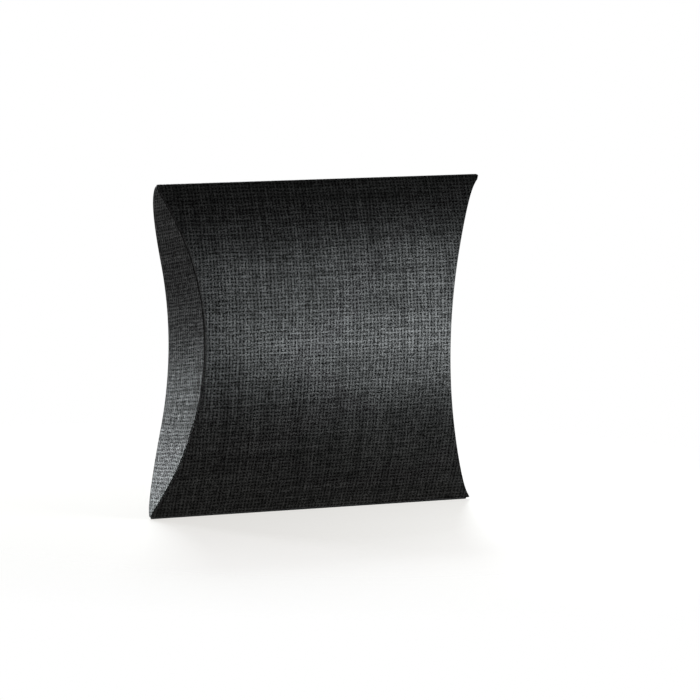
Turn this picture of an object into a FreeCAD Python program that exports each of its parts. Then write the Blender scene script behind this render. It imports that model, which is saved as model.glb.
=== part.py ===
# Pillow box: one die-cut sheet of card folded into a bulged sleeve, whose two ends are
# closed by pairs of flaps on curved creases. Millimetres, +Z up, the front wall towards -Y.
# The origin lies on the resting plane, midway along the seam edge that the box stands on.
import FreeCAD, Part
import math
import os

import Sketcher

doc = FreeCAD.newDocument("pillow_box")
sheet = doc.addObject("Spreadsheet::Sheet", "Sizes")

# Sizes that drive the box, in millimetres and degrees.
DRIVING = {
    "box_length": 105.6,          # corner to corner along the straight folds
    "box_height": 95.0,           # seam edge to top fold
    "front_bulge": 9.55,          # front wall at mid height, from the plane of the folds
    "back_bulge": 12.6,           # back wall, from the same plane
    "end_depth": 12.45,           # how far the curved creases dip in at mid height
    "card_thickness": 0.4,
    "front_crown_angle": 10.0,    # half the turn of the wall's middle arc
    "front_edge_angle": 23.0,     # slant of the wall where it meets the folds
    "back_crown_angle": 4.0,
    "back_edge_angle": 47.0,
    "fold_inside": 0.4,           # inside radius of the straight folds
    "flap_gap": 0.15,             # air between the outer and the inner flap of an end
    "crease_gap": 0.1,            # air between a flap and the wall end that it covers
    "free_edge_gap": 0.35,        # outer flap's free edge, short of the front crease
    "inner_edge_gap": 0.3,        # inner flap's straight edge, short of the plane of the folds
    "tip_relief": 1.0,            # flap tips, short of the box corners
    "tab_width": 10.0,            # glue tab, measured along the card
    "tab_inset": 3.0,             # glue tab's foot, in from the box corner
    "tab_taper": 6.0,             # further inset of the tab's free edge
    "glue_film": 0.06,            # thickness of the dried glue
    "glue_seat": 0.02,            # film to card, on each side
    "glue_margin": 1.5,           # glue, in from the tab's edges
}

# Sizes that follow from them.
DERIVED = {
    "half_length": "box_length / 2",
    "half_height": "box_height / 2",
    "fold_radius": "fold_inside + card_thickness",
    "top_fold_up": "half_height - fold_radius",
}

# A wall's section is a flat crown arc between two tighter shoulder arcs, tangent to each other
# and to the round of the fold.
WALL_SECTION = {
    "top_fold_wall_end": "top_fold_up + fold_radius * sin(wall_edge_angle)",
    "top_fold_wall_inside_end": "top_fold_up + fold_inside * sin(wall_edge_angle)",
    "wall_rise": "wall_bulge - fold_radius * cos(wall_edge_angle)",
    "wall_fall": "cos(wall_crown_angle) - cos(wall_edge_angle)",
    "wall_turn": "sin(wall_edge_angle) - sin(wall_crown_angle)",
    "wall_sag": "1 - cos(wall_crown_angle)",
    "wall_scale": "sin(wall_crown_angle) * wall_fall - wall_turn * wall_sag",
    "wall_crown": "(top_fold_wall_end * wall_fall - wall_rise * wall_turn) / wall_scale",
    "wall_shoulder":
        "(wall_rise * sin(wall_crown_angle) - top_fold_wall_end * wall_sag) / wall_scale",
    "wall_crown_back": "wall_crown - wall_bulge",
    "wall_shoulder_back":
        "wall_crown_back - (wall_crown - wall_shoulder) * cos(wall_crown_angle)",
    "wall_shoulder_up": "(wall_crown - wall_shoulder) * sin(wall_crown_angle)",
}
for wall_name in ("front", "back"):
    for alias, formula in WALL_SECTION.items():
        wall_alias = alias.replace("wall", wall_name)
        DERIVED[wall_alias] = formula.replace("wall", wall_name)

DERIVED.update({
    # The seam: the fold's round touches the front wall and the outside of the glue tab.
    "tab_face": "back_shoulder - card_thickness - glue_film - 2 * glue_seat",
    "tab_back": "tab_face - card_thickness",
    "front_reach": "front_shoulder - fold_radius",
    "tab_reach": "tab_face - fold_radius",
    "reach_across": "front_shoulder_back + back_shoulder_back",
    "reach_up": "front_shoulder_up - back_shoulder_up",
    "reach_apart": "sqrt(reach_across ^ 2 + reach_up ^ 2)",
    "seam_along": "(front_reach ^ 2 - tab_reach ^ 2 + reach_apart ^ 2) / (2 * reach_apart)",
    "seam_below": "sqrt(front_reach ^ 2 - seam_along ^ 2)",
    "seam_forward":
        "(seam_along * reach_across + seam_below * reach_up) / reach_apart - front_shoulder_back",
    "seam_down":
        "front_shoulder_up - (seam_along * reach_up - seam_below * reach_across) / reach_apart",
    "front_slope": "(seam_down - front_shoulder_up) / front_reach",
    "tab_slope": "(seam_down - back_shoulder_up) / tab_reach",
    "seam_front_end": "seam_down + fold_radius * front_slope",
    "seam_front_inside_end": "seam_down + fold_inside * front_slope",
    "seam_tab_end": "seam_down + fold_radius * tab_slope",
    "seam_tab_inside_end": "seam_down + fold_inside * tab_slope",
    # The strips of the seam, along the lower shoulder of the back wall.
    "tab_low_angle": "asin(tab_slope) / 1 deg",
    "tab_high_angle": "tab_low_angle - tab_width / back_shoulder * 180 / pi",
    "glue_turn": "glue_margin / back_shoulder * 180 / pi",
    "glue_face": "back_shoulder - card_thickness - glue_seat",
    "glue_back": "glue_face - glue_film",
    "tab_face_low": "back_shoulder_up + tab_face * sin(tab_low_angle)",
    "tab_face_high": "back_shoulder_up + tab_face * sin(tab_high_angle)",
    "tab_back_low": "back_shoulder_up + tab_back * sin(tab_low_angle)",
    "tab_back_high": "back_shoulder_up + tab_back * sin(tab_high_angle)",
    "glue_face_low": "back_shoulder_up + glue_face * sin(tab_low_angle - glue_turn)",
    "glue_face_high": "back_shoulder_up + glue_face * sin(tab_high_angle + glue_turn)",
    "glue_back_low": "back_shoulder_up + glue_back * sin(tab_low_angle - glue_turn)",
    "glue_back_high": "back_shoulder_up + glue_back * sin(tab_high_angle + glue_turn)",
    # The curved ends, as radii about one centre beyond each end of the box.
    "end_radius": "(half_height ^ 2 + end_depth ^ 2) / (2 * end_depth)",
    "end_centre": "half_length - end_depth + end_radius",
    "outer_flap_face": "end_radius",
    "outer_flap_back": "outer_flap_face + card_thickness",
    "inner_flap_face": "outer_flap_back + flap_gap",
    "inner_flap_back": "inner_flap_face + card_thickness",
    "back_wall_end": "outer_flap_back + crease_gap",
    "front_wall_end": "inner_flap_back + crease_gap",
    "flap_tip": "half_height - tip_relief",
    "flap_blank": "2 * (front_bulge + back_bulge)",
    "cut_across": "front_bulge + back_bulge + card_thickness",
    "cut_along": "half_length + card_thickness",
    "tab_corner": "half_length - tab_inset",
    "tab_free_corner": "tab_corner - tab_taper",
    "tab_free_height": "half_height - tab_width",
    "glue_corner": "tab_corner - glue_margin",
    "glue_free_corner": "glue_corner - tab_taper",
})

# Curves that run along a wall's section, each set in from its outside by an offset.
SECTION_CURVES = {
    "front_outside": "0",
    "front_inside": "card_thickness",
    "front_free_edge": "free_edge_gap",
    "back_outside": "0",
    "back_inside": "card_thickness",
}
for curve, offset in SECTION_CURVES.items():
    wall_name = curve.split("_")[0]
    DERIVED[curve + "_crown"] = wall_name + "_crown - " + offset
    DERIVED[curve + "_shoulder"] = wall_name + "_shoulder - " + offset
    DERIVED[curve + "_crown_end"] = curve + "_crown * sin(" + wall_name + "_crown_angle)"

# Their ends lie square to the card, at the top fold and at the foot of the front wall.
for face in ("outside", "inside"):
    for wall_name in ("front", "back"):
        top = "{0}_shoulder_up + {0}_{1}_shoulder * sin({0}_edge_angle)"
        DERIVED[wall_name + "_" + face + "_top"] = top.format(wall_name, face)
    foot = "front_shoulder_up + front_" + face + "_shoulder * front_slope"
    DERIVED["front_" + face + "_foot"] = foot

for row, (alias, number) in enumerate(DRIVING.items(), 1):
    sheet.set("A%d" % row, alias)
    sheet.set("B%d" % row, str(number))
    sheet.setAlias("B%d" % row, alias)
for row, (alias, formula) in enumerate(DERIVED.items(), 1):
    sheet.set("C%d" % row, alias)
    sheet.set("D%d" % row, "=" + formula)
    sheet.setAlias("D%d" % row, alias)
doc.recompute()

FRONT, BACK = -1, 1
LEFT, RIGHT = -1, 1


def size(alias):
    """The number in a cell of the sheet."""
    return float(sheet.get(alias))


def new_body(label):
    """A body whose own origin is at the box's mid height."""
    body = doc.addObject("PartDesign::Body", label)
    body.Label = label
    body.setExpression("Placement.Base.z", "Sizes.half_height")
    return body


def new_sketch(body, role, name):
    """A sketch on one of the body's own planes."""
    sketch = body.newObject("Sketcher::SketchObject", name)
    plane = [feature for feature in body.Origin.OriginFeatures if feature.Role == role][0]
    sketch.AttachmentSupport = [(plane, "")]
    sketch.MapMode = "FlatFace"
    return sketch


def bind(sketch, kind, refs, alias):
    """A dimension of the sketch that takes its value from a cell."""
    index = sketch.addConstraint(Sketcher.Constraint(kind, *refs, size(alias)))
    sketch.setExpression("Constraints[%d]" % index, "Sizes." + alias)


def across(sketch, point, side, alias):
    """Distance of a point from the sketch's upright axis, to the given side."""
    refs = (-1, 1, *point) if side > 0 else (*point, -1, 1)
    bind(sketch, "DistanceX", refs, alias)


def height(sketch, point, side, alias):
    """Distance of a point from the mid height, above (1) or below (-1)."""
    refs = (-1, 1, *point) if side > 0 else (*point, -1, 1)
    bind(sketch, "DistanceY", refs, alias)


def add_arc(sketch, bulge, centre, radius, low, high):
    """An arc that bulges to one side between two heights; returns its id, foot and top."""
    low_angle = math.asin((low - centre[1]) / radius)
    high_angle = math.asin((high - centre[1]) / radius)
    circle = Part.Circle(FreeCAD.Vector(*centre, 0), FreeCAD.Vector(0, 0, 1), radius)
    if bulge > 0:
        arc = sketch.addGeometry(Part.ArcOfCircle(circle, low_angle, high_angle))
        return arc, (arc, 1), (arc, 2)
    turned = Part.ArcOfCircle(circle, math.pi - high_angle, math.pi - low_angle)
    arc = sketch.addGeometry(turned)
    return arc, (arc, 2), (arc, 1)


def add_line(sketch, first, second):
    """A straight line between two points of the sketch, or to a loose place."""
    ends = []
    for point in (first, second):
        ends.append(sketch.getPoint(*point) if isinstance(point, tuple) else point)
    line = sketch.addGeometry(Part.LineSegment(*ends))
    for position, point in enumerate((first, second), 1):
        if isinstance(point, tuple):
            sketch.addConstraint(Sketcher.Constraint("Coincident", line, position, *point))
    return line


def section_curve(sketch, wall, curve, top, foot):
    """Shoulder, crown and shoulder of a wall's section; returns its foot and top points."""
    wall_name = curve.split("_")[0]
    crown_centre = (-wall * size(wall_name + "_crown_back"), 0)
    crown_end = size(curve + "_crown_end")
    crown, crown_foot, crown_top = add_arc(
        sketch, wall, crown_centre, size(curve + "_crown"), -crown_end, crown_end)
    sketch.addConstraint(Sketcher.Constraint("PointOnObject", crown, 3, -1))
    across(sketch, (crown, 3), -wall, wall_name + "_crown_back")
    bind(sketch, "Radius", (crown,), curve + "_crown")
    height(sketch, crown_top, 1, curve + "_crown_end")
    height(sketch, crown_foot, -1, curve + "_crown_end")

    shoulder = size(curve + "_shoulder")
    shoulder_y = -wall * size(wall_name + "_shoulder_back")
    upper_centre = (shoulder_y, size(wall_name + "_shoulder_up"))
    lower_centre = (shoulder_y, -size(wall_name + "_shoulder_up"))
    upper, upper_foot, upper_top = add_arc(
        sketch, wall, upper_centre, shoulder, crown_end, size(top))
    lower, lower_foot, lower_top = add_arc(
        sketch, wall, lower_centre, shoulder, -size(foot), -crown_end)
    sketch.addConstraint(Sketcher.Constraint("Tangent", *crown_top, *upper_foot))
    sketch.addConstraint(Sketcher.Constraint("Tangent", *crown_foot, *lower_top))
    bind(sketch, "Radius", (upper,), curve + "_shoulder")
    bind(sketch, "Radius", (lower,), curve + "_shoulder")
    height(sketch, upper_top, 1, top)
    height(sketch, lower_foot, -1, foot)
    return lower_foot, upper_top


def fold_arc(sketch, up, centre, radius, front_end, back_end):
    """An arc over (1) or under (-1) a fold's centre; returns its id, front and back ends."""
    centre_y, centre_height = centre
    front_angle = math.asin((size(front_end) - size(centre_height)) / size(radius))
    back_angle = math.asin((size(back_end) - size(centre_height)) / size(radius))
    middle = FreeCAD.Vector(centre_y, up * size(centre_height), 0)
    circle = Part.Circle(middle, FreeCAD.Vector(0, 0, 1), size(radius))
    if up > 0:
        turn = (back_angle, math.pi - front_angle)
    else:
        turn = (math.pi + front_angle, 2 * math.pi - back_angle)
    arc = sketch.addGeometry(Part.ArcOfCircle(circle, *turn))
    front, back = ((arc, 2), (arc, 1)) if up > 0 else ((arc, 1), (arc, 2))
    height(sketch, (arc, 3), up, centre_height)
    bind(sketch, "Radius", (arc,), radius)
    height(sketch, front, up, front_end)
    height(sketch, back, up, back_end)
    return arc, (front, back)


def seam_arc(sketch, radius, low, high):
    """An arc along the lower back shoulder, for the strips of the seam."""
    centre = (-size("back_shoulder_back"), -size("back_shoulder_up"))
    arc, foot, top = add_arc(sketch, BACK, centre, size(radius), -size(low), -size(high))
    across(sketch, (arc, 3), FRONT, "back_shoulder_back")
    height(sketch, (arc, 3), -1, "back_shoulder_up")
    bind(sketch, "Radius", (arc,), radius)
    height(sketch, foot, -1, low)
    height(sketch, top, -1, high)
    return foot, top


def end_arc(sketch, end, radius, reach):
    """An arc of the curved end, to the same height above and below the middle."""
    reach_height = size(reach)
    centre = (end * size("end_centre"), 0)
    arc, foot, top = add_arc(sketch, -end, centre, size(radius), -reach_height, reach_height)
    sketch.addConstraint(Sketcher.Constraint("PointOnObject", arc, 3, -1))
    across(sketch, (arc, 3), end, "end_centre")
    bind(sketch, "Radius", (arc,), radius)
    height(sketch, top, 1, reach)
    height(sketch, foot, -1, reach)
    return foot, top


def close_band(sketch, first, second):
    """Join the feet and the tops of two curves, so that they bound a strip of card."""
    add_line(sketch, first[0], second[0])
    add_line(sketch, first[1], second[1])


def close_outside(sketch, curve, side, reach):
    """Close a curve on its outer side with a frame that clears the card."""
    foot, top = curve
    far_x = side * size(reach)
    far_foot = FreeCAD.Vector(far_x, sketch.getPoint(*foot).y, 0)
    far_top = FreeCAD.Vector(far_x, sketch.getPoint(*top).y, 0)
    lower = add_line(sketch, foot, far_foot)
    upper = add_line(sketch, top, far_top)
    add_line(sketch, (lower, 2), (upper, 2))
    sketch.addConstraint(Sketcher.Constraint("Horizontal", lower))
    sketch.addConstraint(Sketcher.Constraint("Horizontal", upper))
    across(sketch, (lower, 2), side, reach)
    across(sketch, (upper, 2), side, reach)


def pad(body, sketch, length):
    """Card of the sketched section, run the same way to both sides of the plane."""
    feature = body.newObject("PartDesign::Pad", body.Label + "_pad")
    feature.Profile = sketch
    feature.SideType = "Symmetric"
    feature.setExpression("Length", "Sizes." + length)
    doc.recompute()


def trim(body, sketch):
    """Cut the sketched outline right through the body, and see that it took card away."""
    before = body.Shape.Volume
    feature = body.newObject("PartDesign::Pocket", sketch.Label + "_cut")
    feature.Profile = sketch
    feature.Type = "ThroughAll"
    feature.SideType = "Symmetric"
    doc.recompute()
    if not 0 < body.Shape.Volume < before:
        raise RuntimeError(sketch.Label + " trims nothing")


def trim_curved_ends(body, radius):
    """Trim both ends of a piece of the sleeve along the curved creases."""
    ends = new_sketch(body, "XZ_Plane", body.Label + "_ends")
    for end in (LEFT, RIGHT):
        close_outside(ends, end_arc(ends, end, radius, "half_height"), end, "cut_along")
    trim(body, ends)


def trim_slanted_ends(body, corner, free_corner):
    """Trim both ends of a seam strip on a slant, narrower at its free edge."""
    ends = new_sketch(body, "XZ_Plane", body.Label + "_ends")
    for end in (LEFT, RIGHT):
        foot = FreeCAD.Vector(end * size(corner), -size("half_height"), 0)
        free = FreeCAD.Vector(end * size(free_corner), -size("tab_free_height"), 0)
        slant = add_line(ends, foot, free)
        across(ends, (slant, 1), end, corner)
        height(ends, (slant, 1), -1, "half_height")
        across(ends, (slant, 2), end, free_corner)
        height(ends, (slant, 2), -1, "tab_free_height")
        close_outside(ends, ((slant, 1), (slant, 2)), end, "cut_along")
    trim(body, ends)


def front_panel():
    """Bulged front wall, from the top fold to the seam fold, between the inner flaps."""
    body = new_body("front_panel")
    section = new_sketch(body, "YZ_Plane", "front_section")
    strip = []
    for curve in ("front_outside", "front_inside"):
        strip.append(section_curve(section, FRONT, curve, curve + "_top", curve + "_foot"))
    close_band(section, *strip)
    pad(body, section, "box_length")
    trim_curved_ends(body, "front_wall_end")
    return body


def back_panel():
    """Bulged back wall; its foot is the sheet's cut edge, level with the resting plane."""
    body = new_body("back_panel")
    section = new_sketch(body, "YZ_Plane", "back_section")
    strip = []
    for curve in ("back_outside", "back_inside"):
        strip.append(section_curve(section, BACK, curve, curve + "_top", "half_height"))
    close_band(section, *strip)
    pad(body, section, "box_length")
    trim_curved_ends(body, "back_wall_end")
    return body


def top_fold():
    """Straight crease that joins both walls along the top."""
    body = new_body("top_fold")
    section = new_sketch(body, "YZ_Plane", "top_fold_section")
    strip = []
    for radius, side in (("fold_radius", "end"), ("fold_inside", "inside_end")):
        arc, ends = fold_arc(
            section, 1, (0, "top_fold_up"), radius, "top_fold_front_" + side, "top_fold_back_" + side)
        section.addConstraint(Sketcher.Constraint("PointOnObject", arc, 3, -2))
        strip.append(ends)
    close_band(section, *strip)
    pad(body, section, "box_length")
    trim_curved_ends(body, "front_wall_end")
    return body


def bottom_fold():
    """Straight crease at the foot of the front wall, which turns up into the glue tab."""
    body = new_body("bottom_fold")
    section = new_sketch(body, "YZ_Plane", "bottom_fold_section")
    centre = (-size("seam_forward"), "seam_down")
    strip = []
    for radius, side in (("fold_radius", "end"), ("fold_inside", "inside_end")):
        arc, ends = fold_arc(section, -1, centre, radius, "seam_front_" + side, "seam_tab_" + side)
        across(section, (arc, 3), FRONT, "seam_forward")
        strip.append(ends)
    close_band(section, *strip)
    pad(body, section, "box_length")
    trim_curved_ends(body, "front_wall_end")
    return body


def glue_tab():
    """Strip behind the seam fold, along the inside of the back wall, with slanted ends."""
    body = new_body("glue_tab")
    section = new_sketch(body, "YZ_Plane", "tab_section")
    face = seam_arc(section, "tab_face", "tab_face_low", "tab_face_high")
    back = seam_arc(section, "tab_back", "tab_back_low", "tab_back_high")
    close_band(section, face, back)
    pad(body, section, "box_length")
    trim_slanted_ends(body, "tab_corner", "tab_free_corner")
    return body


def glue_film():
    """Dried glue between the tab and the back wall."""
    body = new_body("glue_film")
    section = new_sketch(body, "YZ_Plane", "glue_section")
    face = seam_arc(section, "glue_face", "glue_face_low", "glue_face_high")
    back = seam_arc(section, "glue_back", "glue_back_low", "glue_back_high")
    close_band(section, face, back)
    pad(body, section, "box_length")
    trim_slanted_ends(body, "glue_corner", "glue_free_corner")
    return body


def curved_flap(label, end, face, back):
    """Card bent to the curve of one end, still wider than the box is deep."""
    body = new_body(label)
    section = new_sketch(body, "XZ_Plane", label + "_section")
    close_band(
        section, end_arc(section, end, face, "flap_tip"), end_arc(section, end, back, "flap_tip"))
    pad(body, section, "flap_blank")
    return body


def outer_flap(label, end):
    """Lens-shaped flap: creased on the back wall, its free edge along the front crease."""
    body = curved_flap(label, end, "outer_flap_face", "outer_flap_back")
    outline = new_sketch(body, "YZ_Plane", label + "_outline")
    for wall, curve in ((FRONT, "front_free_edge"), (BACK, "back_outside")):
        edge = section_curve(outline, wall, curve, "half_height", "half_height")
        close_outside(outline, edge, wall, "cut_across")
    trim(body, outline)
    return body


def inner_flap(label, end):
    """Flap under the outer one: creased on the front wall, cut straight from tip to tip."""
    body = curved_flap(label, end, "inner_flap_face", "inner_flap_back")
    outline = new_sketch(body, "YZ_Plane", label + "_outline")
    crease = section_curve(outline, FRONT, "front_outside", "half_height", "half_height")
    close_outside(outline, crease, FRONT, "cut_across")
    reach = size("half_height")
    edge_y = -size("inner_edge_gap")
    edge = add_line(
        outline, FreeCAD.Vector(edge_y, -reach, 0), FreeCAD.Vector(edge_y, reach, 0))
    for position, side in ((1, -1), (2, 1)):
        across(outline, (edge, position), FRONT, "inner_edge_gap")
        height(outline, (edge, position), side, "half_height")
    close_outside(outline, ((edge, 1), (edge, 2)), BACK, "cut_across")
    trim(body, outline)
    return body


pieces = [front_panel(), back_panel(), top_fold(), bottom_fold(), glue_tab(), glue_film()]
for end_name, end in (("left", LEFT), ("right", RIGHT)):
    pieces.append(outer_flap(end_name + "_outer_flap", end))
    pieces.append(inner_flap(end_name + "_inner_flap", end))
doc.recompute()

for item in doc.Objects:
    if "Invalid" in item.State or "Error" in item.State:
        raise RuntimeError(item.Label + " failed to build")
for piece in pieces:
    if piece.Shape.isNull() or not piece.Shape.isValid() or len(piece.Shape.Solids) != 1:
        raise RuntimeError(piece.Label + " is not one sound solid")

os.makedirs("parts", exist_ok=True)
for piece in pieces:
    piece.Shape.exportStep("parts/" + piece.Label + ".step")
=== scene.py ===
import bpy
import numpy as np
from mathutils import Matrix


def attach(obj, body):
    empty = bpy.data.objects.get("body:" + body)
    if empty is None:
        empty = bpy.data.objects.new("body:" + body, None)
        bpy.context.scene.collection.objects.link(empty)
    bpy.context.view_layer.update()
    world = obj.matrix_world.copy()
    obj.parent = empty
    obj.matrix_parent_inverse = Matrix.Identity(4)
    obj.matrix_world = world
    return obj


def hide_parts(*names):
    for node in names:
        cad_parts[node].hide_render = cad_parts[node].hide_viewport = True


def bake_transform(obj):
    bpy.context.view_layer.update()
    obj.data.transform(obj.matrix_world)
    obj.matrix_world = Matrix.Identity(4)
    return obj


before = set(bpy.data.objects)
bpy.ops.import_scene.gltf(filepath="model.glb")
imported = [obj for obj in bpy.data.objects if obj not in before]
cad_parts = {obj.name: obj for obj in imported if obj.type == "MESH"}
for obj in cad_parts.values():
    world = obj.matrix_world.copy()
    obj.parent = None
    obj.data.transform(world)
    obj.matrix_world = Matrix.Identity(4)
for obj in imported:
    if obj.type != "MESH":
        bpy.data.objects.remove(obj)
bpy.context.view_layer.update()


# Back wall: the bulged rear half of the sleeve, die-cut with all the rest from one sheet of
# black card that is pressed with a linen weave outside and plain inside. Its foot is a cut
# edge that the box stands on, glued over the tab of the front wall.
box_length, box_height = 0.1056, 0.095
half_height = box_height / 2
card = 0.0004
fold_radius = 0.0008
back_bulge = 0.0126
back_crown_turn, back_edge_turn = np.radians([4.0, 47.0])
back_bend = 0.0005
end_depth = 0.01245
end_radius = (half_height**2 + end_depth**2) / (2 * end_depth)
end_skew = {"left": 0.14, "right": 0.0}
low_high_ears = {"left": (-0.0007, -0.0009), "right": (0.00135, 0.0022)}
ear_reach = 0.0021
corner_straight, corner_round = 0.0011, 0.0005
inset_taper = 0.001
wall_rows = sleeve_columns = 97
sharp_turn = np.radians(40.0)


def wall_arcs(bulge, crown_turn, edge_turn):
    """A wall's section is a crown arc between two shoulder arcs, tangent to each other and to
    the round of the fold. Their radii solve two sums: the heights and the depths of the arcs
    add up to the way from the fold to the middle of the wall. Returns the crown's and the
    shoulder's radius, how far back their centres lie, and how far up the shoulder's is."""
    rise = half_height - fold_radius + fold_radius * np.sin(edge_turn)
    depth = bulge - fold_radius * np.cos(edge_turn)
    fall = np.cos(crown_turn) - np.cos(edge_turn)
    turn = np.sin(edge_turn) - np.sin(crown_turn)
    sag = 1 - np.cos(crown_turn)
    scale = np.sin(crown_turn) * fall - turn * sag
    crown = (rise * fall - depth * turn) / scale
    shoulder = (depth * np.sin(crown_turn) - rise * sag) / scale
    crown_back = crown - bulge
    shoulder_back = crown_back - (crown - shoulder) * np.cos(crown_turn)
    return crown, shoulder, crown_back, shoulder_back, (crown - shoulder) * np.sin(crown_turn)


def card_runs(arcs):
    """Way along the outside of the card to the start of each arc, and to the end of the last:
    radius times turn, added up. An arc's row holds the depth and the height of its centre, its
    radius, and the turns about the long axis at which it starts and ends."""
    return np.concatenate([[0], np.cumsum(arcs[:, 2] * (arcs[:, 4] - arcs[:, 3]))])


def section_points(arcs, run, depth):
    """Depth and height of the card at a way along its outside: the centre of the arc there,
    plus the arc's radius, less the depth into the card, in the direction of the turn."""
    starts = card_runs(arcs)
    place = np.clip(np.searchsorted(starts, run, side="right") - 1, 0, len(arcs) - 1)
    centre_y, centre_z, radius, first_turn, _ = arcs[place].T
    turn = first_turn + (run - starts[place]) / radius
    reach = radius - depth
    return centre_y + reach * np.cos(turn), half_height + centre_z + reach * np.sin(turn)


def end_dip(y, z, side):
    """How far an end of the box dips in: a circular arc over the height, whose deepest line
    slopes from the back wall to the front wall by the skew. At the corners, where the card is
    pinched flat, the end runs out by the ear, which dies away exponentially down the end. The
    last stretch is straight, and rounded off by a small quarter circle."""
    level = np.clip(z - half_height + end_skew[side] * y, -half_height, half_height)
    below = half_height - np.abs(level)
    held = np.maximum(below, corner_straight)
    arc = end_depth - end_radius + np.sqrt(end_radius**2 - (half_height - held)**2)
    ear = np.take(low_high_ears[side], (level > 0).astype(int)) * np.exp(-held / ear_reach)
    rounding = np.clip(corner_round - below, 0, None)
    return arc - ear + corner_round - np.sqrt(corner_round**2 - rounding**2)


def curved_ends(arcs, rows, inset):
    """Where each row of the sleeve starts and stops along the box: half the length to the left
    and to the right, less the dip of that end and an inset. The inset leaves room for the bend
    of a flap, and runs out at the corners, where the flaps stop."""
    y, z = section_points(arcs, np.linspace(0, card_runs(arcs)[-1], rows), 0)
    below = half_height - np.abs(z - half_height)
    reach = box_length / 2 - inset * np.clip(below / inset_taper, 0, 1)
    return end_dip(y, z, "left") - reach, reach - end_dip(y, z, "right")


def sheet_of_card(name, outside, inside, blank):
    """Closed sheet from two grids of points, its outside and its inside, joined round the
    border by the cut edge. blank gives each grid point's place on the flat sheet. Faces of the
    outside, the inside and the edge take the three card materials in turn."""
    rows, columns = outside.shape[:2]
    count = rows * columns
    grid = np.arange(count).reshape(rows, columns)
    quads = np.stack([grid[:-1, :-1], grid[:-1, 1:], grid[1:, 1:], grid[1:, :-1]], -1)
    quads = quads.reshape(-1, 4)
    border = np.concatenate([grid[0, :-1], grid[:-1, -1], grid[-1, :0:-1], grid[:0:-1, 0]])
    after = np.roll(border, -1)
    edge = np.stack([after, border, border + count, after + count], -1)
    faces = np.concatenate([quads, quads[:, ::-1] + count, edge])
    across = np.diff(outside, axis=1)[:-1]
    along = np.diff(outside, axis=0)[:, :-1]
    thick = (outside - inside)[:-1, :-1]
    if np.sum(np.cross(across, along) * thick) < 0:
        faces = faces[:, ::-1]
    points = np.concatenate([outside.reshape(-1, 3), inside.reshape(-1, 3)])
    mesh = bpy.data.meshes.new(name)
    mesh.from_pydata(points.tolist(), [], faces.tolist())
    for material in card_faces:
        mesh.materials.append(material)
    kind = np.repeat([0, 1, 2], [len(quads), len(quads), len(edge)])
    mesh.polygons.foreach_set("material_index", kind)
    mesh.polygons.foreach_set("use_smooth", kind < 2)
    corners = np.zeros(len(mesh.loops), int)
    mesh.loops.foreach_get("vertex_index", corners)
    places = np.tile(blank.reshape(-1, 2), (2, 1))[corners]
    mesh.uv_layers.new(name="blank").data.foreach_set("uv", places.astype(np.float32).ravel())
    mesh.update()
    mesh.set_sharp_from_angle(angle=sharp_turn)
    piece = bpy.data.objects.new(name, mesh)
    bpy.context.scene.collection.objects.link(piece)
    return piece


def sleeve_piece(name, arcs, rows, ends, blank_start):
    """Part of the sleeve: even rows along its section's arcs, each run straight from its left
    end to its right end. blank_start is the way along the flat sheet to the first row."""
    run = np.linspace(0, card_runs(arcs)[-1], rows)
    left, right = (np.reshape(end, (-1, 1)) for end in ends)
    x = left + (right - left) * np.linspace(0, 1, sleeve_columns)
    grids = []
    for depth in (0, card):
        y, z = section_points(arcs, run, depth)
        grids.append(np.stack(np.broadcast_arrays(x, y[:, None], z[:, None]), -1))
    blank = np.stack(np.broadcast_arrays(x, blank_start + run[:, None]), -1)
    piece = sheet_of_card(name, *grids, blank)
    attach(piece, "sleeve")
    return piece


class NodeBench:
    """A node tree with short calls that add a node, set its values and wire its inputs."""

    def __init__(self, tree):
        self.tree = tree

    def feed(self, node, **inputs):
        """Wire or set inputs by name, with _ for a space, or by place, as i0, i1 and so on."""
        for key, value in inputs.items():
            socket = node.inputs[int(key[1:]) if key[1:].isdigit() else key.replace("_", " ")]
            if isinstance(value, bpy.types.NodeSocket):
                self.tree.links.new(value, socket)
            else:
                socket.default_value = value
        return node

    def add(self, kind, settings=(), **inputs):
        """New node of a kind, with its settings and its inputs."""
        node = self.tree.nodes.new(kind)
        for key, value in dict(settings).items():
            setattr(node, key, value)
        return self.feed(node, **inputs)

    def math(self, operation, *values):
        """One sum of the pattern; returns its output."""
        inputs = {"i%d" % place: value for place, value in enumerate(values)}
        return self.add("ShaderNodeMath", {"operation": operation}, **inputs).outputs[0]

    def span(self, value, low, high, to_low, to_high):
        """Stretch a value from one range to another, held at the ends; returns its output."""
        ends = {"From_Min": low, "From_Max": high, "To_Min": to_low, "To_Max": to_high}
        return self.add("ShaderNodeMapRange", Value=value, **ends).outputs["Result"]

    def tone(self, share, dark, light):
        """Colour between a dark and a light tone by a share; returns its output."""
        ends = {"i6": (*dark, 1.0), "i7": (*light, 1.0)}
        return self.add("ShaderNodeMix", {"data_type": "RGBA"}, i0=share, **ends).outputs[2]


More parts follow.
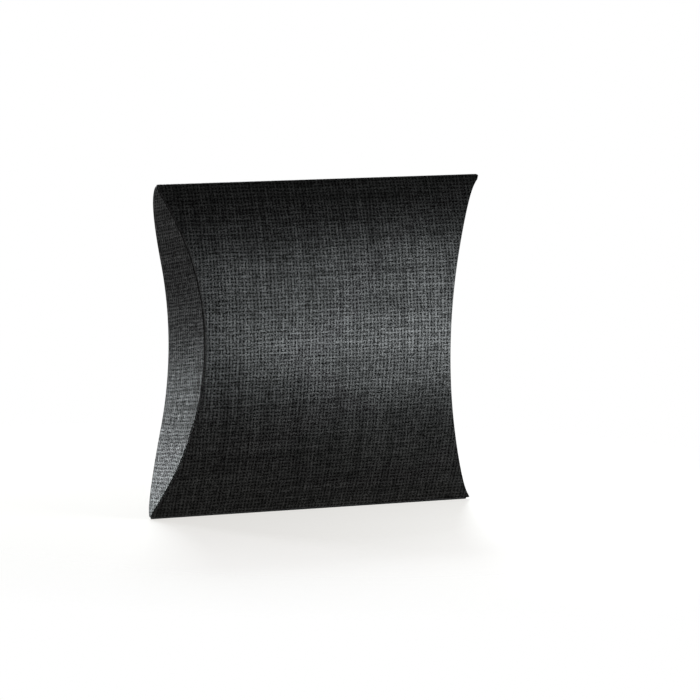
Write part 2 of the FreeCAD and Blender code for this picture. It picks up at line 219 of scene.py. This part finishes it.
def linen_emboss():
    """Node group for the linen pressed into the card. Warp threads are ridges along the sheet's
    height and weft threads ridges along its length: the size of a sine of the place over the
    pitch, shifted by slow noise so that threads wander. Each ridge swells and thins with noise
    that is drawn out along the thread. The product of both sines lifts warp and weft in turn, as
    in a plain weave, and the higher thread wins. Fine noise breaks it up into fibres. Streak is
    long, thin noise both ways, for single threads that were pressed more or less."""
    group = bpy.data.node_groups.new("linen emboss", "ShaderNodeTree")
    group.interface.new_socket("Blank", in_out="INPUT", socket_type="NodeSocketVector")
    for name in ("Warp pitch", "Weft pitch", "Slub"):
        group.interface.new_socket(name, in_out="INPUT", socket_type="NodeSocketFloat")
    for name in ("Height", "Streak"):
        group.interface.new_socket(name, in_out="OUTPUT", socket_type="NodeSocketFloat")
    bench = NodeBench(group)
    given = bench.add("NodeGroupInput").outputs
    place = bench.add("ShaderNodeSeparateXYZ", i0=given["Blank"]).outputs

    def noise(waves, shift, detail=1.0):
        """Smooth noise, about 0 to 1, with its own waves a metre along and up the sheet, and a
        shift along it that sets it apart from the others."""
        x = bench.math("MULTIPLY_ADD", place["X"], waves[0], shift)
        y = bench.math("MULTIPLY", place["Y"], waves[1])
        vector = bench.add("ShaderNodeCombineXYZ", X=x, Y=y).outputs[0]
        scales = {"Scale": 1.0, "Detail": detail}
        flat = {"noise_dimensions": "2D"}
        return bench.add("ShaderNodeTexNoise", flat, Vector=vector, **scales).outputs["Fac"]

    wander_shift, wander_most = 3.7, 0.0005
    ridge_power = 0.85
    slub_shift, slub_noise, slub_swell, slub_middle = 11.3, (0.3, 0.7), (0.5, 1.0), 0.7
    lift, warp_height, weft_height = 0.2, 0.78, 0.74
    fibre_waves, fibre_shift = (2600.0, 3000.0), 1.9
    fibre_noise, fibre_swell = (0.28, 0.72), (0.35, 1.4)
    weft_streak_waves, weft_streak_shift = (24.0, 460.0), 5.1
    warp_streak_waves, warp_streak_shift = (430.0, 20.0), 8.9
    streak_noise = 0.7, 1.3
    thread_detail = 2.0
    threads, sines = [], []
    for axis, pitch, slub_waves, wander_waves in (
            ("X", "Warp pitch", (800.0, 430.0), (130.0, 70.0)),
            ("Y", "Weft pitch", (400.0, 900.0), (70.0, 130.0))):
        wander = noise(wander_waves, wander_shift)
        wander = bench.span(wander, 0.0, 1.0, -wander_most, wander_most)
        moved = bench.math("DIVIDE", bench.math("ADD", place[axis], wander), given[pitch])
        sines.append(bench.math("SINE", bench.math("MULTIPLY", moved, np.pi)))
        ridge = bench.math("POWER", bench.math("ABSOLUTE", sines[-1]), ridge_power)
        slub = noise(slub_waves, slub_shift, thread_detail)
        slub = bench.span(slub, *slub_noise, *slub_swell)
        slub = bench.math("SUBTRACT", slub, slub_middle)
        slub = bench.math("MULTIPLY_ADD", slub, given["Slub"], slub_middle)
        threads.append(bench.math("MULTIPLY", ridge, slub))
    over = bench.math("MULTIPLY", *sines)
    warp = bench.math("MULTIPLY_ADD", over, lift, warp_height)
    warp = bench.math("MULTIPLY", threads[0], warp)
    weft = bench.math("MULTIPLY_ADD", over, -lift, weft_height)
    weft = bench.math("MULTIPLY", threads[1], weft)
    fibre = bench.span(noise(fibre_waves, fibre_shift), *fibre_noise, *fibre_swell)
    height = bench.math("MULTIPLY", bench.math("MAXIMUM", warp, weft), fibre)
    weft_streaks = noise(weft_streak_waves, weft_streak_shift, thread_detail)
    warp_streaks = noise(warp_streak_waves, warp_streak_shift, thread_detail)
    streak = bench.span(bench.math("ADD", weft_streaks, warp_streaks), *streak_noise, 0.0, 1.0)
    bench.add("NodeGroupOutput", Height=height, Streak=streak)
    return group


def pressed_linen(bench, slub):
    """The linen group placed in a material, over the flat sheet; returns its outputs."""
    blank = bench.add("ShaderNodeUVMap", {"uv_map": "blank"}).outputs[0]
    weave = {"Warp_pitch": warp_pitch, "Weft_pitch": weft_pitch, "Slub": slub}
    return bench.add("ShaderNodeGroup", {"node_tree": linen}, Blank=blank, **weave).outputs


def new_finish(name):
    """New material; returns it with its bench and its shader."""
    material = bpy.data.materials.new(name)
    material.use_nodes = True
    return material, NodeBench(material.node_tree), material.node_tree.nodes["Principled BSDF"]


def linen_card():
    """Outside of the card: black through and through, pressed with linen. The tops of the
    threads are smoothed by the press and shine a little, more along some threads than others.
    The hollows stay dull, and their darker colour is painted shade of the emboss. The crease
    shines most, again on its threads: partly from rubbing, partly as a painted highlight."""
    # Painted shade: the hollows of the emboss take a darker colour than the thread tops.
    hollow_shade_black, thread_black = (0.0004, 0.0004, 0.00035), (0.003, 0.003, 0.0026)
    full_sheen = 0.28
    hollow_height, top_height, top_most = 0.16, 0.8, 1.15
    press_swing, press_least = 0.5, 0.62
    crease_shine_swing, crease_shine_least = 1.4, 0.6
    material, bench, shader = new_finish("linen embossed card")
    emboss = pressed_linen(bench, slub=1.0)
    thread_top = bench.span(emboss["Height"], hollow_height, top_height, 0.0, top_most)
    pressed = bench.math("MULTIPLY_ADD", emboss["Streak"], press_swing, press_least)
    smooth = bench.math("MULTIPLY", thread_top, pressed)
    # Extra sheen on the crease: partly rubbing of the bend, partly a painted highlight in a band
    # over the height.
    crease = bench.add("ShaderNodeAttribute", {"attribute_name": "crease"}).outputs["Fac"]
    crease_rub_and_highlight = bench.math("MULTIPLY_ADD", thread_top, crease_shine_swing, crease_shine_least)
    crease_rub_and_highlight = bench.math("MULTIPLY", crease, crease_rub_and_highlight)
    shine = bench.math("MAXIMUM", smooth, crease_rub_and_highlight)
    relief = bench.add("ShaderNodeBump", Height=emboss["Height"], Strength=1.0, Distance=0.00005)
    bench.feed(
        shader, Specular_IOR_Level=0.0, Roughness=0.85, Coat_Roughness=0.34, Coat_IOR=2.0,
        Base_Color=bench.tone(smooth, hollow_shade_black, thread_black),
        Coat_Weight=bench.math("MULTIPLY", shine, full_sheen), Normal=relief.outputs[0])
    return material


def bare_card(name, dark, light, roughness, fibre_waves, show_through):
    """Bare black card: fine fibres as noise, plus a share of the linen that shows through from
    the outside, both in the tone and in a shallow bump."""
    material, bench, shader = new_finish(name)
    place = bench.add("ShaderNodeTexCoord").outputs["Object"]
    grain = {"Scale": fibre_waves, "Detail": 4.0, "Roughness": 0.65}
    relief = bench.add("ShaderNodeTexNoise", Vector=place, **grain).outputs["Fac"]
    if show_through:
        emboss = pressed_linen(bench, slub=1.0)
        relief = bench.math("MULTIPLY_ADD", emboss["Height"], show_through, relief)
    bump = bench.add("ShaderNodeBump", Height=relief, Strength=0.5, Distance=0.00004)
    bench.feed(
        shader, Specular_IOR_Level=0.16, Roughness=roughness,
        Base_Color=bench.tone(relief, dark, light), Normal=bump.outputs[0])
    return material


warp_pitch, weft_pitch = 0.00112, 0.00104
linen = linen_emboss()
card_faces = (
    linen_card(),
    bare_card("plain card inside", dark=(0.016, 0.016, 0.0165), light=(0.05, 0.05, 0.051),
              roughness=0.75, fibre_waves=2200.0, show_through=0.3),
    bare_card("cut card edge", dark=(0.003, 0.003, 0.003), light=(0.01, 0.01, 0.0095),
              roughness=0.85, fibre_waves=5200.0, show_through=0.0),
)
back_crown, back_shoulder, back_crown_back, back_shoulder_back, back_shoulder_up = wall_arcs(
    back_bulge, back_crown_turn, back_edge_turn)
back_foot_turn = -np.arcsin((half_height - back_shoulder_up) / back_shoulder)
back_arcs = np.array([
    (-back_shoulder_back, -back_shoulder_up, back_shoulder, back_foot_turn, -back_crown_turn),
    (-back_crown_back, 0, back_crown, -back_crown_turn, back_crown_turn),
    (-back_shoulder_back, back_shoulder_up, back_shoulder, back_crown_turn, back_edge_turn),
])
back_wall = sleeve_piece(
    "back_wall", back_arcs, wall_rows, curved_ends(back_arcs, wall_rows, back_bend), 0)
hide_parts("back_panel")


# Top fold: the straight crease over which the sheet turns from the back wall to the front wall.
# The card is scored and bent round tightly, so the emboss runs on over it.
front_edge_turn = np.radians(23.0)
fold_rows = 13
top_arcs = np.array([
    (0, half_height - fold_radius, fold_radius, back_edge_turn, np.pi - front_edge_turn)])
top_start = card_runs(back_arcs)[-1]
top_fold = sleeve_piece(
    "top_crease", top_arcs, fold_rows, curved_ends(top_arcs, fold_rows, 0), top_start)
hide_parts("top_fold")


# Front wall: the bulged front half of the sleeve, from the top fold down to the seam fold.
# Its curved ends bend in under the outer flaps, and the bends stand level with those flaps.
front_bulge, front_crown_turn = 0.00955, np.radians(10.0)
front_bend = 0.0003
ridge_sink = 0.00005
glue_gap = 0.0001
tab_sink = card + glue_gap


def seam_centre(front_reach, tab_reach):
    """Centre of the seam fold: the lower crossing of two circles, one about the front wall's
    shoulder centre and one about the back wall's, each smaller than the card by the fold."""
    first = np.array([front_shoulder_back, -front_shoulder_up])
    second = np.array([-back_shoulder_back, -back_shoulder_up])
    apart = np.linalg.norm(second - first)
    toward = (second - first) / apart
    along = (front_reach**2 - tab_reach**2 + apart**2) / (2 * apart)
    below = np.sqrt(front_reach**2 - along**2)
    return first + along * toward + below * np.array([-toward[1], toward[0]])


front_crown, front_shoulder, front_crown_back, front_shoulder_back, front_shoulder_up = wall_arcs(
    front_bulge, front_crown_turn, front_edge_turn)
front_reach = front_shoulder - fold_radius
tab_radius = back_shoulder - tab_sink
tab_reach = tab_radius - fold_radius
seam_y, seam_z = seam_centre(front_reach, tab_reach)
front_foot_turn = np.pi + np.arcsin((-seam_z - front_shoulder_up) / front_reach)
front_top_turn = np.pi - front_crown_turn
front_low_turn = np.pi + front_crown_turn
front_arcs = np.array([
    (front_shoulder_back, front_shoulder_up, front_shoulder,
     np.pi - front_edge_turn, front_top_turn),
    (front_crown_back, 0, front_crown, front_top_turn, front_low_turn),
    (front_shoulder_back, -front_shoulder_up, front_shoulder, front_low_turn, front_foot_turn),
])
front_start = top_start + card_runs(top_arcs)[-1]
front_ends = curved_ends(front_arcs, wall_rows, ridge_sink + front_bend)
front_wall = sleeve_piece("front_wall", front_arcs, wall_rows, front_ends, front_start)
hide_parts("front_panel")


# Seam fold: the crease at the foot of the front wall, where the sheet turns up into the box.
# It lies just in front of the back wall's cut edge.
tab_foot_turn = 2 * np.pi - np.arcsin((-seam_z - back_shoulder_up) / tab_reach)
seam_arcs = np.array([(seam_y, seam_z, fold_radius, front_foot_turn, tab_foot_turn)])
seam_start = front_start + card_runs(front_arcs)[-1]
seam_ends = curved_ends(seam_arcs, fold_rows, 0)
bottom_fold = sleeve_piece("seam_crease", seam_arcs, fold_rows, seam_ends, seam_start)
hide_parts("bottom_fold")


# Glue tab: the narrow strip beyond the seam fold, stuck to the inside of the back wall.
# Its ends are cut on a straight slant so that they stay clear of the curved creases.
tab_width = 0.010
tab_inset, tab_taper = 0.003, 0.006
tab_rows = 13
tab_free_turn = tab_foot_turn + tab_width / tab_radius
tab_arcs = np.array([
    (-back_shoulder_back, -back_shoulder_up, tab_radius, tab_foot_turn, tab_free_turn)])
tab_start = seam_start + card_runs(seam_arcs)[-1]
tab_half = box_length / 2 - tab_inset - tab_taper * np.linspace(0, 1, tab_rows)
glue_tab = sleeve_piece("seam_tab", tab_arcs, tab_rows, (-tab_half, tab_half), tab_start)
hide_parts("glue_tab")


# Glue film: the thin line of dried carton glue between the tab and the back wall.
# It is a milky, slightly yellow film that the roller left uneven.
def dried_glue():
    """Milky film: slow noise shifts its colour and its roughness."""
    yellowed, milky = (0.62, 0.58, 0.48), (0.82, 0.8, 0.72)
    uneven_noise, roughness = (0.3, 0.7), (0.3, 0.55)
    material, bench, shader = new_finish("dried glue")
    place = bench.add("ShaderNodeTexCoord").outputs["Object"]
    uneven = bench.add("ShaderNodeTexNoise", Vector=place, Scale=420.0, Detail=3.0).outputs["Fac"]
    bench.feed(
        shader, Base_Color=bench.tone(uneven, yellowed, milky),
        Roughness=bench.span(uneven, *uneven_noise, *roughness))
    return material


glue_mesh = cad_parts["glue_film"].data
glue_mesh.materials.clear()
glue_mesh.materials.append(dried_glue())


# Outer flaps: one lens-shaped flap at each end, folded in over the curved crease of the back
# wall. Its free edge lies along the front crease. The card bends tightly at the crease and
# takes the hollow curve of the end.
edge_clearance = 0.0005
free_edge_gap = front_bend + edge_clearance
flap_tip_gap = 0.0006
least_reach = 0.0002
row_count, bend_columns, face_columns = 121, 9, 32
column_crowding = 1.5
flap_rows = np.linspace(flap_tip_gap, box_height - flap_tip_gap, row_count)
bend_turns = np.linspace(0, np.pi / 2, bend_columns)
face_shares = np.linspace(0, 1, face_columns + 1)[1:] ** column_crowding
widest_bend_share, score_share = 0.4, 0.9
sink_reach = 0.00025
crease_sheen_columns = 5
# Middle height and half reach of the band where the crease carries its painted highlight.
highlight_band_middle, highlight_band_reach = 0.06, 0.022
outer_sink = 0.0, 0.0
outer_thread_slope = 0.165, 0.085
fine_steps = 4001


def wall_depth(arcs, z):
    """Depth of the card's outside at a height, read from a fine row of points along the arcs."""
    run = np.linspace(0, card_runs(arcs)[-1], fine_steps)
    y_along, z_along = section_points(arcs, run, 0)
    order = np.argsort(z_along)
    return np.interp(z, z_along[order], y_along[order])


def end_flap(name, body, side, wall, sink, crease_bend, free_line, thread_slope):
    """Flap of one end, on the back wall where wall is 1 and on the front wall where it is -1, row
    by row over its height. A row leaves its wall along the box, turns a quarter circle at the
    crease and runs across the end to the free line. sink is how deep it lies under the face of
    the end, at the crease and past it. The inside lies the card's thickness further in, towards
    the middle of the bend and, past the bend, along the box. The bend is scored, so there the
    card is no thicker than a share of the bend's radius. The weave is tilted by the thread slope,
    which changes evenly over the height. The wall's half of the bend is marked for extra sheen:
    partly rubbing of the crease, and, by a parabola over the height, a painted highlight in a
    band."""
    crease_y = back_line if wall > 0 else front_line
    bend = np.minimum(crease_bend, widest_bend_share * np.abs(free_line - crease_y))
    face = end_dip(crease_y, flap_rows, side) - box_length / 2 + sink[0]
    turn_x = (face + bend)[:, None] - bend[:, None] * np.sin(bend_turns)
    start_y = (crease_y - wall * bend)[:, None]
    turn_y = start_y + wall * bend[:, None] * np.cos(bend_turns)
    flat_y = start_y + (free_line[:, None] - start_y) * face_shares
    flat_x = end_dip(flat_y, flap_rows[:, None], side) - box_length / 2
    flat_x += np.interp(np.abs(flat_y - flat_y[:, :1]), (0, sink_reach), sink)
    x, y = np.hstack([turn_x, flat_x]), np.hstack([turn_y, flat_y])
    outside = np.stack(np.broadcast_arrays(x, y, flap_rows[:, None]), -1)
    past_bend = np.hstack([np.zeros_like(turn_y), np.abs(flat_y - start_y)])
    depth = np.minimum(card, score_share * bend[:, None] + past_bend)
    inward = np.concatenate([bend_turns, np.full(len(face_shares), np.pi / 2)])
    into_box = np.stack([np.sin(inward), -wall * np.cos(inward), np.zeros_like(inward)], -1)
    inside = outside + depth[..., None] * into_box

    step = np.hypot(np.diff(x, axis=1), np.diff(y, axis=1))
    reach = np.hstack([np.zeros((len(flap_rows), 1)), np.cumsum(step, axis=1)])
    rise = np.cumsum(np.hypot(np.gradient(face), np.gradient(flap_rows)))
    rise = (rise - rise.mean())[:, None]
    slope = thread_slope[0] + thread_slope[1] * rise / half_height
    blank = np.stack([-box_length / 2 - reach, half_height + rise - slope * reach], -1)

    mirror = np.array([1.0 if side == "left" else -1.0, 1.0, 1.0])
    piece = sheet_of_card(name, outside * mirror, inside * mirror, blank)
    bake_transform(piece)
    # Crease sheen: rubbing along the wall's half of the bend, and a painted highlight strongest in
    # a band over the height.
    painted_highlight_band = np.clip(1 - ((flap_rows - highlight_band_middle) / highlight_band_reach)**2, 0, None)[:, None]
    crease_sheen_and_highlight = painted_highlight_band * (np.arange(x.shape[1]) < crease_sheen_columns)
    crease = piece.data.attributes.new("crease", "FLOAT", "POINT")
    crease.data.foreach_set("value", np.tile(crease_sheen_and_highlight.ravel(), 2).astype(np.float32))
    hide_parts(body + "_flap")


back_half = np.vstack([back_arcs, [*top_arcs[0, :4], np.pi / 2]])
front_half = np.vstack([
    [*top_arcs[0, :3], np.pi / 2, top_arcs[0, 4]], front_arcs, [*seam_arcs[0, :4], 1.5 * np.pi]])
back_line = wall_depth(back_half, flap_rows)
front_line = wall_depth(front_half, flap_rows)
outer_free_line = np.minimum(front_line + free_edge_gap, back_line - least_reach)
for side in ("left", "right"):
    end_flap(side + "_lens_flap", side + "_outer", side, 1, outer_sink, back_bend,
             outer_free_line, outer_thread_slope)


# Inner flaps: one at each end, folded in over the crease of the front wall and hidden under the
# outer flap. Its free edge is cut straight from tip to tip.
flap_gap = 0.00003
inner_sink = ridge_sink, card + flap_gap
inner_thread_slope = 0.0, 0.0
straight_cut = -0.0003
inner_free_line = np.maximum(straight_cut, front_line + least_reach)
for side in ("left", "right"):
    end_flap(side + "_under_flap", side + "_inner", side, -1, inner_sink, front_bend,
             inner_free_line, inner_thread_slope)


# Floor: plain, pale and matt, with no edge in sight. It keeps the box's shadow, warm and soft,
# and fades out round it into the white of the room.
floor_reach = 1.4
floor_grey = 0.35
shadow_tint, shadow_lift = (1.0, 0.975, 0.94, 1.0), 0.645
fade_start, fade_end = 0.05, 0.19


def seen_rays(bench):
    """1 for rays from the camera and for mirrored and see-through ones; returns the rays' own
    outputs and that mask."""
    path = bench.add("ShaderNodeLightPath").outputs
    through = bench.math("MAXIMUM", path["Is Glossy Ray"], path["Is Transmission Ray"])
    return path, bench.math("MAXIMUM", path["Is Camera Ray"], through)


floor_mesh = bpy.data.meshes.new("floor")
floor_corners = np.array([(-1, -1, 0), (1, -1, 0), (1, 1, 0), (-1, 1, 0)]) * floor_reach
floor_mesh.from_pydata(floor_corners.tolist(), [], [(0, 1, 2, 3)])
floor = bpy.data.objects.new("floor", floor_mesh)
bpy.context.scene.collection.objects.link(floor)
floor_paint = bpy.data.materials.new("pale floor")
floor_paint.use_nodes = True
floor_paint.node_tree.nodes.clear()
bench = NodeBench(floor_paint.node_tree)
lift = bench.math("MULTIPLY", seen_rays(bench)[1], shadow_lift)
glow = bench.add("ShaderNodeEmission", Color=shadow_tint, Strength=lift).outputs[0]
matt = bench.add("ShaderNodeBsdfDiffuse", Color=(floor_grey, floor_grey, floor_grey, 1)).outputs[0]
lit = bench.add("ShaderNodeAddShader", i0=matt, i1=glow).outputs[0]
clear = bench.add("ShaderNodeBsdfTransparent").outputs[0]
middle = bench.add("ShaderNodeTexCoord").outputs["Object"]
away = bench.add("ShaderNodeVectorMath", {"operation": "LENGTH"}, i0=middle).outputs["Value"]
faded = bench.span(away, fade_start, fade_end, 0.0, 1.0)
surface = bench.add("ShaderNodeMixShader", i0=faded, i1=lit, i2=clear).outputs[0]
bench.add("ShaderNodeOutputMaterial", Surface=surface)
floor_mesh.materials.append(floor_paint)


# Room: the white behind and around the box. Seen straight it is pure white; in reflections it
# is darker on the side from which the front wall would mirror it; as light it is a weak fill.
room_fill = 0.2
dark_side, dark_white = (0.6, -0.8, 0.0), 0.3
dark_start, dark_full = -0.4, 0.1
world = bpy.data.worlds.new("white room")
bpy.context.scene.world = world
world.use_nodes = True
world.node_tree.nodes.clear()
bench = NodeBench(world.node_tree)
path, seen = seen_rays(bench)
outward = bench.add("ShaderNodeTexCoord").outputs["Generated"]
dot = {"operation": "DOT_PRODUCT"}
facing = bench.add("ShaderNodeVectorMath", dot, i0=outward, i1=dark_side).outputs["Value"]
mirrored = bench.span(facing, dark_start, dark_full, 1.0, dark_white)
white = bench.math("MAXIMUM", path["Is Camera Ray"], mirrored)
strength = bench.add("ShaderNodeMix", i0=seen, i2=room_fill, i3=white).outputs[0]
sky = bench.add("ShaderNodeBackground", Color=(1, 1, 1, 1), Strength=strength).outputs[0]
bench.add("ShaderNodeOutputWorld", Surface=sky)


# Studio light: five soft boxes. One stands high behind the box and throws its shadow forward,
# and one low at the back left lights the hollow of the near end. Two at the front right give
# the front wall its broad sheen, and one at the front left fills.
lamp_tint = (0.94, 1.0, 1.02)


def turned_to(right, up, back, spot):
    """Matrix that turns an object's axes to the three directions and moves it to the spot."""
    return Matrix([*np.stack([right, up, back, spot], -1).tolist(), (0, 0, 0, 1)])


def soft_box(name, azimuth, elevation, distance, width, height, radiance):
    """Area lamp on a sphere about the box's middle, facing it. Azimuth turns from straight in
    front towards the right. Power is radiance times pi times area."""
    lamp = bpy.data.lights.new(name, "AREA")
    lamp.shape = "RECTANGLE"
    lamp.size, lamp.size_y = width, height
    lamp.color = lamp_tint
    lamp.energy = radiance * np.pi * width * height
    turn, lift = np.radians([azimuth, elevation])
    back = np.array([np.sin(turn) * np.cos(lift), -np.cos(turn) * np.cos(lift), np.sin(lift)])
    right = np.array([np.cos(turn), np.sin(turn), 0])
    up = np.cross(back, right)
    spot = back * distance + np.array([0, 0, half_height])
    place = bpy.data.objects.new(name, lamp)
    place.visible_camera = False
    place.matrix_world = turned_to(right, up, back, spot)
    bpy.context.scene.collection.objects.link(place)


# Name, azimuth and elevation in degrees, distance, width, height, radiance.
soft_box("behind", 157.0, 38.0, 1.1, 0.24, 0.4, 45.0)
soft_box("low back left", -157.0, 5.6, 0.45, 0.15, 0.18, 16.5)
soft_box("front right", 39.0, 5.4, 0.24, 0.15, 0.13, 7.3)
soft_box("low front right", 40.0, -8.2, 0.16, 0.12, 0.048, 7.6)
soft_box("front left", -15.0, 4.0, 0.8, 0.25, 0.15, 6.0)


# Camera: a long lens at the front left, a little above the box and slightly rolled. The lens
# and the stand were fitted to the box's outline on a square picture. Picture sizes and the
# focal length are in pixels, the distance in heights of the box.
image_side, focal = 700.0, 5984.0
middle_on_image = np.array([313.1, 344.7])
azimuth, elevation, roll = np.radians([30.27, 7.07, 1.24])
heights_away = 18
distance = heights_away * box_height
camera_data = bpy.data.cameras.new("camera")
camera = bpy.data.objects.new("camera", camera_data)
bpy.context.scene.collection.objects.link(camera)
bpy.context.scene.camera = camera
camera_data.sensor_width = 36.0
camera_data.lens = focal * camera_data.sensor_width / image_side
camera_data.clip_start, camera_data.clip_end = 0.05, 20.0
flat_back = np.array([-np.sin(azimuth), -np.cos(azimuth), 0.0])
back = flat_back * np.cos(elevation) + np.array([0, 0, np.sin(elevation)])
level_right = np.array([np.cos(azimuth), -np.sin(azimuth), 0.0])
level_up = np.cross(back, level_right)
right = level_right * np.cos(roll) + level_up * np.sin(roll)
up = level_up * np.cos(roll) - level_right * np.sin(roll)
offset = (middle_on_image - image_side / 2) * distance / focal
spot = np.array([0, 0, half_height]) + back * distance - right * offset[0] + up * offset[1]
camera.matrix_world = turned_to(right, up, back, spot)

bpy.context.scene.view_settings.view_transform = "Standard"
